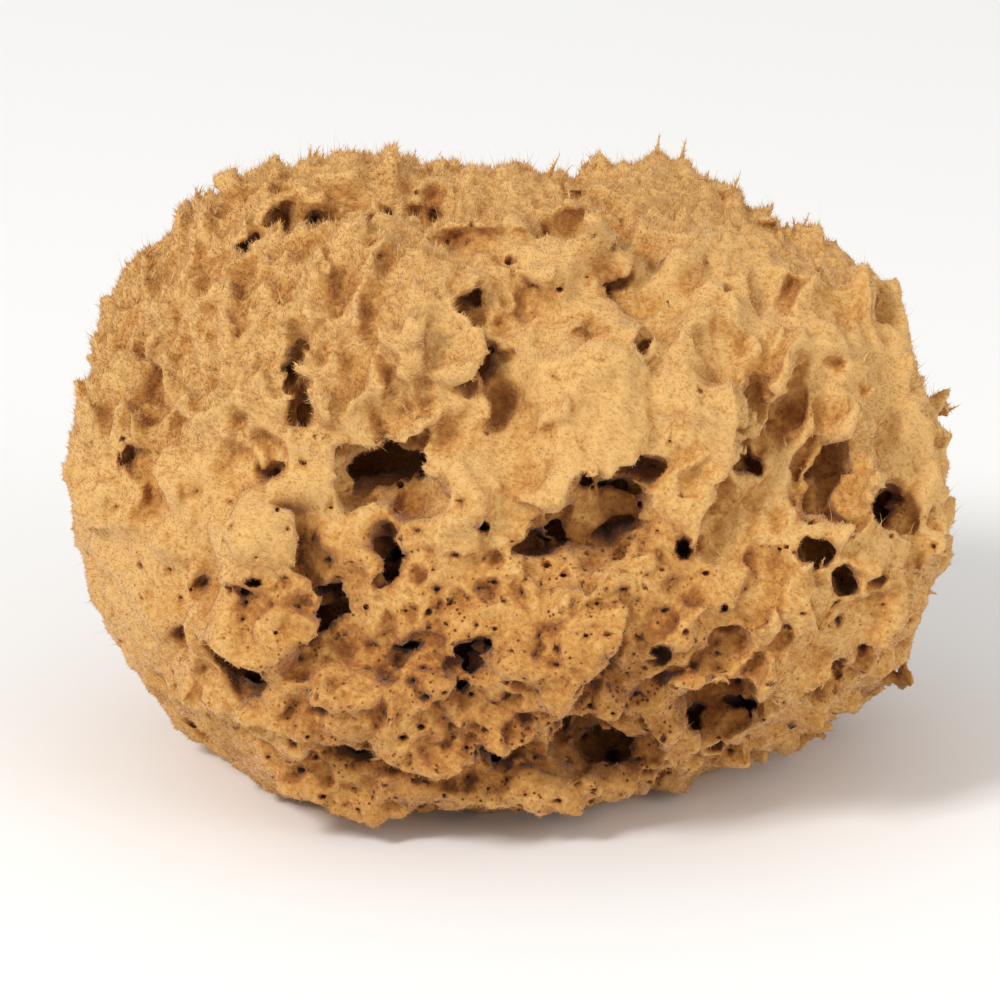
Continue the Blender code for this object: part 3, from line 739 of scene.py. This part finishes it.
print("one tuft has", len(tuft_faces), "triangles")

# %% [markdown]
# ## Scattering
# Tufts, felt and hairs are all scattered over a surface in the same way: triangles are picked
# by their area and a liking for the place, and a point is picked within each. The ways that
# they point follow the growth, outwards and upwards, and a little astray.

# %% Helpers that scatter
def add_mesh_piece(name, corners, faces):
    """A new mesh object from points in mm and triangles."""
    mesh = bpy.data.meshes.new(name)
    mesh.vertices.add(len(corners))
    mesh.vertices.foreach_set("co", (corners * MM).ravel())
    mesh.loops.add(faces.size)
    mesh.loops.foreach_set("vertex_index", faces.ravel())
    mesh.polygons.add(len(faces))
    mesh.polygons.foreach_set("loop_start", np.arange(len(faces)) * faces.shape[1])
    mesh.update(calc_edges=True)
    piece = bpy.data.objects.new(name, mesh)
    bpy.context.scene.collection.objects.link(piece)
    return piece


def scatter(surface, count, liking, chance):
    """Random places on a surface, with the way it faces and its openness there."""
    places, facing, open_share, faces = surface
    corners = places[faces]
    area = np.linalg.norm(np.cross(corners[:, 1] - corners[:, 0], corners[:, 2] - corners[:, 0]), axis=1)
    share = area * liking
    picked = faces[chance.choice(len(faces), count, p=share / share.sum())]
    first, second = np.sqrt(chance.random(count)), chance.random(count)
    mix = np.stack((1 - first, first * (1 - second), first * second), axis=1)[:, :, None]
    out = unit((facing[picked] * mix).sum(axis=1))
    return (places[picked] * mix).sum(axis=1), out, (open_share[picked] * mix[:, :, 0]).sum(axis=1)


def growing_ways(places, facing, open_share, astray, chance):
    """The way each fibre points: outwards, upwards with the growth, and a little astray."""
    flames, plates, porous = growth_shares(places)
    gather = np.stack([soft_noise(places, 1.6, shift) for shift in (11, 23, 37)], axis=1)
    lean = (0.25 + 0.75 * flames + 0.45 * plates) * open_share
    way = facing * 0.8 + SKY * lean[:, None] + gather * 0.6 + chance.normal(0, astray, (len(places), 3))
    inward = (way * facing).sum(axis=1)
    return unit(way + facing * np.maximum(0, 0.25 - inward)[:, None])


skin_surface = (points, normals, openness, triangles)
print("ready to scatter over", len(triangles), "triangles")

# %% Plant the tufts
TUFTS = 2200
TUFT_LENGTH = (0.8, 3.0)  # mm
TUFT_WIDTH = (0.5, 1.6)

chance = np.random.default_rng(41)
middles = points[triangles].mean(axis=1)
flames, plates, porous = growth_shares(middles)
face_open = openness[triangles].mean(axis=1)
liking = (0.04 + 1.5 * flames ** 2 + 0.45 * plates ** 2) * ramp(face_open, 0.6, 0.9) * (middles[:, 2] > 5)
places, facing, open_share = scatter(skin_surface, TUFTS, liking, chance)
sweep = SKY - facing * (facing @ SKY)[:, None]
ways = unit(facing * 0.4 + sweep * 0.9 + chance.normal(0, 0.3, places.shape))
length = TUFT_LENGTH[0] + (TUFT_LENGTH[1] - TUFT_LENGTH[0]) * chance.random(TUFTS) ** 2.2
width = np.clip(length * chance.uniform(0.3, 0.7, TUFTS), *TUFT_WIDTH)
flat_side = unit(np.cross(ways, facing + chance.normal(0, 0.5, places.shape)))
thick_side = np.cross(ways, flat_side)
curl = SKY * 0.4 + chance.normal(0, 0.6, places.shape)
height = tuft_points[:, 2][None, :, None]
tuft_corners = (
    (places - facing * 0.7)[:, None]
    + flat_side[:, None] * (tuft_points[:, 0][None, :, None] * width[:, None, None])
    + thick_side[:, None] * (tuft_points[:, 1][None, :, None] * width[:, None, None])
    + ways[:, None] * (height * length[:, None, None])
    + curl[:, None] * (height ** 2.2 * length[:, None, None] * 0.5)
)
tuft_corners = tuft_corners.reshape(-1, 3)
step = np.arange(TUFTS)[:, None, None] * len(tuft_points)
tuft_triangles = (tuft_faces[None] + step).reshape(-1, 3)
tufts = add_mesh_piece("crest_tufts", tuft_corners, tuft_triangles)
# The tufts take the skin's openness, raised towards each tip: painted light at the tips, painted shade at the
# roots.
tuft_open_and_tip_light = np.repeat(open_share, len(tuft_points)) * 0.75 + 0.25 * np.tile(tuft_points[:, 2], TUFTS)
write_looks(tufts, tuft_corners, tuft_open_and_tip_light)
select_only(tufts)
bpy.ops.object.shade_smooth()
print("tufts:", TUFTS, "triangles:", len(tuft_triangles))

# %% [markdown]
# ## The felt of short fibres
# The whole sponge is a felt. Hair systems are lost on export, so each fibre is one thin
# triangle of real mesh, about as long as a felt's nap. Several pieces share the fibres, which
# keeps each one a fair size.

# %% Scatter the felt over skin and tufts
FIBRES_A_PIECE = 190_000
FELT_PIECES = 3
FIBRE_WIDTH = 0.14  # mm
FIBRE_LENGTH = (0.3, 0.75)

felt_surface = (
    np.concatenate((points, tuft_corners)),
    np.concatenate((normals, read_normals(tufts))),
    np.concatenate((openness, tuft_open_and_tip_light)),
    np.concatenate((triangles, tuft_triangles + len(points))),
)
felt_height = felt_surface[0][felt_surface[3]].mean(axis=1)[:, 2]
felt_liking = (0.3 + 0.7 * felt_surface[2][felt_surface[3]].mean(axis=1)) * (felt_height > 0.4)
felt_pieces = []
for number in range(FELT_PIECES):
    chance = np.random.default_rng(20 + number)
    places, facing, open_share = scatter(felt_surface, FIBRES_A_PIECE, felt_liking, chance)
    ways = growing_ways(places, facing, open_share, 0.45, chance)
    flames = growth_shares(places)[0]
    length = chance.uniform(*FIBRE_LENGTH, FIBRES_A_PIECE) * (0.55 + 0.5 * open_share) * (1 + 0.9 * flames)
    side = unit(np.cross(ways, unit(chance.normal(0, 1, places.shape)))) * FIBRE_WIDTH / 2
    root = places - facing * 0.08
    tips = root + ways * length[:, None]
    tips[:, 2] = np.maximum(tips[:, 2], 0.05)
    corners = np.stack((root - side, root + side, tips), axis=1).reshape(-1, 3)
    felt = add_mesh_piece(f"felt_{number + 1}", corners, np.arange(len(corners)).reshape(-1, 3))
    tip = np.tile((0.0, 0.0, 1.0), FIBRES_A_PIECE)
    tone = np.repeat(chance.random(FIBRES_A_PIECE), 3)
    write_looks(felt, np.repeat(places, 3, axis=0), np.repeat(open_share, 3), tip, tone)
    felt_pieces.append(felt)
print("felt fibres:", FELT_PIECES * FIBRES_A_PIECE)

# %% [markdown]
# ## Longer hairs
# At the crests, and most of all along the top and the left, single hairs 1 to 3 mm long
# curl upwards. A straight triangle would look like a thorn, so each hair has two bends: four
# points along a curve, drawn as a ribbon that narrows to its tip.

# %% Grow the hairs
HAIRS = 16_000
HAIR_WIDTH = 0.12
HAIR_LENGTH = (0.8, 2.8)
HAIR_STEPS = (0.0, 0.4, 0.75, 1.0)

chance = np.random.default_rng(60)
flames, plates, porous = growth_shares(middles)
hair_liking = (0.15 + 1.6 * flames + 0.5 * plates) * ramp(face_open, 0.72, 0.95) * (middles[:, 2] > 3)
places, facing, open_share = scatter(skin_surface, HAIRS, hair_liking, chance)
ways = growing_ways(places, facing, open_share, 0.3, chance)
length = chance.random(HAIRS) ** 2.5 * (HAIR_LENGTH[1] - HAIR_LENGTH[0]) + HAIR_LENGTH[0]
curl = SKY * 0.5 + unit(chance.normal(0, 1, places.shape)) * 1.1
side = unit(np.cross(ways, unit(chance.normal(0, 1, places.shape))))
rows = []
for step in HAIR_STEPS:
    spine = places - facing * 0.1 + (ways * step + curl * step * step * 0.5) * length[:, None]
    spine[:, 2] = np.maximum(spine[:, 2], 0.05)
    half = side * HAIR_WIDTH / 2 * (1 - step)
    rows += [spine - half, spine + half] if step < 1 else [spine]
corners = np.stack(rows, axis=1).reshape(-1, 3)
start = np.arange(HAIRS)[:, None] * len(rows)
strips = [(0, 1, 2), (1, 3, 2), (2, 3, 4), (3, 5, 4), (4, 5, 6)]
faces = np.concatenate([start + strip for strip in strips])
hairs = add_mesh_piece("crest_hairs", corners, faces)
tip = np.tile((0, 0, 0.4, 0.4, 0.75, 0.75, 1.0), HAIRS)
tone = np.repeat(chance.random(HAIRS), len(rows))
write_looks(hairs, np.repeat(places, len(rows), axis=0), np.repeat(open_share, len(rows)), tip, tone)
print("hairs:", HAIRS, "triangles:", len(faces))

# %% [markdown]
# ## Spongin
# Spongin is a horny protein. Dried and bleached by the sun it is golden, dull and a little
# translucent at its edges. Its colour is painted orange-brown where it is deep, as painted shade.
# Two materials share its colours: one for the skin, with a fine grain of fibres, and one for the
# loose fibres, which are painted paler towards their tips, as painted light.

# %% Colours and a node helper
def linear(code):
    """An sRGB hex colour as linear red, green, blue and alpha."""
    parts = [int(code[i:i + 2], 16) / 255 for i in (1, 3, 5)]
    return [p / 12.92 if p <= 0.04045 else ((p + 0.055) / 1.055) ** 2.4 for p in parts] + [1.0]


def add_node(tree, kind, settings=None, links=None):
    """Adds a node, sets its properties and sockets, and links other nodes' outputs to it."""
    node = tree.nodes.new(kind)
    for name, value in (settings or {}).items():
        if name in node.inputs:
            node.inputs[name].default_value = value
        else:
            setattr(node, name, value)
    for name, output in (links or {}).items():
        tree.links.new(output, node.inputs[name])
    return node


# A ramp from shade to light: dark brown is painted shade in the depths, pale gold the open spongin.
DEEP_SHADE_BROWN = linear("#5c3519")
ORANGE_BROWN = linear("#a0642b")
GOLD = linear("#c58f4a")
PALE_GOLD = linear("#d6ab6a")
print("gold, linear:", [round(c, 3) for c in GOLD])

# %% The skin's material
def shade_color_by_openness(tree, openness_output):
    """Painted shade: dark brown in the depths, through orange, to gold where the skin is open."""
    ramp_node = add_node(tree, "ShaderNodeValToRGB", links={"Fac": openness_output})
    stops = ramp_node.color_ramp.elements
    stops[0].position, stops[0].color = 0.12, DEEP_SHADE_BROWN
    stops[1].position, stops[1].color = 0.95, PALE_GOLD
    for position, color in ((0.45, ORANGE_BROWN), (0.75, GOLD)):
        stop = stops.new(position)
        stop.color = color
    return ramp_node.outputs["Color"]


def finish_spongin(name):
    """A new material with the dull finish of spongin, its node tree and its shader."""
    material = bpy.data.materials.new(name)
    material.use_nodes = True
    tree = material.node_tree
    shader = tree.nodes["Principled BSDF"]
    shader.inputs["Roughness"].default_value = 0.85
    shader.inputs["IOR"].default_value = 1.5
    shader.inputs["Specular IOR Level"].default_value = 0.15
    shader.inputs["Sheen Weight"].default_value = 0.25
    shader.inputs["Sheen Roughness"].default_value = 0.5
    return material, tree, shader


GRAIN_MM = 0.4  # distance between the felt's threads
PATCH_MM = 14.0  # size of the paler and darker patches
PORE_SPACING_MM = 1.15  # between the finest pores, which are painted as dark specks of shade and not cut
CLUSTER_MM = 3.5  # size of the clusters that the finest pores keep to
MOTTLE_MM = 0.9  # size of the small light and dark tufts of the felt


def add_noise(tree, size_mm, detail, place):
    """The value of a noise texture whose bumps have this size."""
    settings = {"Scale": 1 / (size_mm * MM), "Detail": detail}
    return add_node(tree, "ShaderNodeTexNoise", settings, {"Vector": place}).outputs["Fac"]


def shade_of_place(tree):
    """How light the place is: painted shade by its openness, in patches, and painted shade in dark specks at
    the finest pores.
    """
    place = add_node(tree, "ShaderNodeTexCoord").outputs["Object"]
    lightness = add_node(tree, "ShaderNodeAttribute", {"attribute_name": "lightness"})
    porous = add_node(tree, "ShaderNodeAttribute", {"attribute_name": "porous"})
    patches = add_noise(tree, PATCH_MM, 5.0, place)
    centred = add_node(tree, "ShaderNodeMath", {"operation": "SUBTRACT"}, {0: patches})
    centred.inputs[1].default_value = 0.5
    patchy = add_node(tree, "ShaderNodeMath", {"operation": "MULTIPLY_ADD"}, {0: centred.outputs[0]})
    patchy.inputs[1].default_value = 0.4
    tree.links.new(lightness.outputs["Fac"], patchy.inputs[2])
    # The finest pores are painted as dark specks: painted shade of holes that are not cut.
    pores = add_node(tree, "ShaderNodeTexVoronoi", {"Scale": 1 / (PORE_SPACING_MM * MM)}, {"Vector": place})
    speck_range = {"From Min": 0.1, "From Max": 0.3, "To Min": -0.75, "To Max": 0.0}
    pore_shade_specks = add_node(tree, "ShaderNodeMapRange", speck_range, {"Value": pores.outputs["Distance"]})
    clusters = add_noise(tree, CLUSTER_MM, 3.0, place)
    where = add_node(tree, "ShaderNodeMapRange", {"From Min": 0.42, "From Max": 0.62}, {"Value": clusters})
    chosen_specks = {0: pore_shade_specks.outputs["Result"], 1: where.outputs["Result"]}
    clustered = add_node(tree, "ShaderNodeMath", {"operation": "MULTIPLY"}, chosen_specks)
    both = {0: clustered.outputs[0], 1: porous.outputs["Fac"], 2: patchy.outputs[0]}
    with_pore_shade = add_node(tree, "ShaderNodeMath", {"operation": "MULTIPLY_ADD"}, both)
    mottle = add_noise(tree, MOTTLE_MM, 3.0, place)
    mottle_range = {"From Min": 0.3, "From Max": 0.7, "To Min": -0.13, "To Max": 0.13}
    mottled = add_node(tree, "ShaderNodeMapRange", mottle_range, {"Value": mottle})
    total = {0: with_pore_shade.outputs[0], 1: mottled.outputs["Result"]}
    return place, add_node(tree, "ShaderNodeMath", {"operation": "ADD"}, total).outputs[0]


spongin_skin, tree, shader = finish_spongin("spongin_felt")
place, shade = shade_of_place(tree)
grain = add_noise(tree, GRAIN_MM, 3.0, place)
bump = add_node(tree, "ShaderNodeBump", {"Strength": 0.7, "Distance": 0.2 * MM}, {"Height": grain})
tree.links.new(shade_color_by_openness(tree, shade), shader.inputs["Base Color"])
tree.links.new(bump.outputs["Normal"], shader.inputs["Normal"])
skin.data.materials.clear()
for piece in (skin, tufts):
    piece.data.materials.append(spongin_skin)
print("skin material has", len(tree.nodes), "nodes")

# %% The fibres' material
spongin_fibre, tree, shader = finish_spongin("spongin_fibres")
place, shade = shade_of_place(tree)
# Fibres are painted paler towards their tips and darker at their roots: painted light and shade. Their tone
# differs at random.
for name, weight, middle in (("tip", 0.2, 0.3), ("tone", 0.36, 0.5)):
    own = add_node(tree, "ShaderNodeAttribute", {"attribute_name": name})
    less = add_node(tree, "ShaderNodeMath", {"operation": "SUBTRACT"}, {0: own.outputs["Fac"]})
    less.inputs[1].default_value = middle
    mixed = add_node(tree, "ShaderNodeMath", {"operation": "MULTIPLY_ADD"}, {0: less.outputs[0], 2: shade})
    mixed.inputs[1].default_value = weight
    shade = mixed.outputs[0]
tree.links.new(shade_color_by_openness(tree, shade), shader.inputs["Base Color"])
for piece in felt_pieces + [hairs]:
    piece.data.materials.append(spongin_fibre)
print("fibre material has", len(tree.nodes), "nodes")

# %% [markdown]
# ## Floor, light and camera
# The photo shows the sponge on plain white with a soft light from the upper left. A wide lamp
# there gives the bright left side, a weak one fills the right, and a pale floor takes the
# shadow. A long lens far away keeps the shape as flat as the photo shows it.

# %% Stage and lamps
bpy.ops.object.select_all(action="DESELECT")
bpy.ops.mesh.primitive_plane_add(size=6.0, location=(0, 0, 0))
floor = bpy.context.object
floor.name = "floor"
paper = bpy.data.materials.new("pale_paper")
paper.use_nodes = True
paper.node_tree.nodes["Principled BSDF"].inputs["Base Color"].default_value = linear("#f4f3f1")
paper.node_tree.nodes["Principled BSDF"].inputs["Roughness"].default_value = 0.9
floor.data.materials.append(paper)

target = Vector(LOAF_CENTRE * MM)


def add_lamp(name, place, size, power):
    """A square lamp aimed at the sponge; its power is in watts."""
    light = bpy.data.lights.new(name, "AREA")
    light.size, light.energy = size, power
    lamp = bpy.data.objects.new(name, light)
    bpy.context.scene.collection.objects.link(lamp)
    lamp.location = place
    lamp.rotation_euler = (target - Vector(place)).to_track_quat("-Z", "Y").to_euler()


add_lamp("key_lamp", (-1.2, -1.1, 1.5), 0.5, 30.0)
add_lamp("fill_lamp", (0.9, -0.8, 0.6), 0.8, 4.2)
world = bpy.data.worlds.new("studio")
world.use_nodes = True
world.node_tree.nodes["Background"].inputs["Color"].default_value = (1, 1, 1, 1)
world.node_tree.nodes["Background"].inputs["Strength"].default_value = 0.66
bpy.context.scene.world = world
bpy.context.scene.view_settings.view_transform = "Standard"
print("lamps placed")

# %% Camera
LENS_MM = 263.5
camera_data = bpy.data.cameras.new("camera")
camera_data.lens = LENS_MM
camera_data.sensor_width = 36.0
camera = bpy.data.objects.new("camera", camera_data)
bpy.context.scene.collection.objects.link(camera)
camera.location = Vector(eye * MM)
camera.rotation_euler = Vector(-FORWARD).to_track_quat("-Z", "Y").to_euler()
bpy.context.scene.camera = camera
print("camera at", [round(v, 3) for v in camera.location])

# %% [markdown]
# ## The pieces on the body
# Every piece rides on the one body, and the skin and its fibres stand for the solid, which
# is hidden.

for piece in [skin, tufts, hairs] + felt_pieces:
    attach(piece, "root")
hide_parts("sponge")
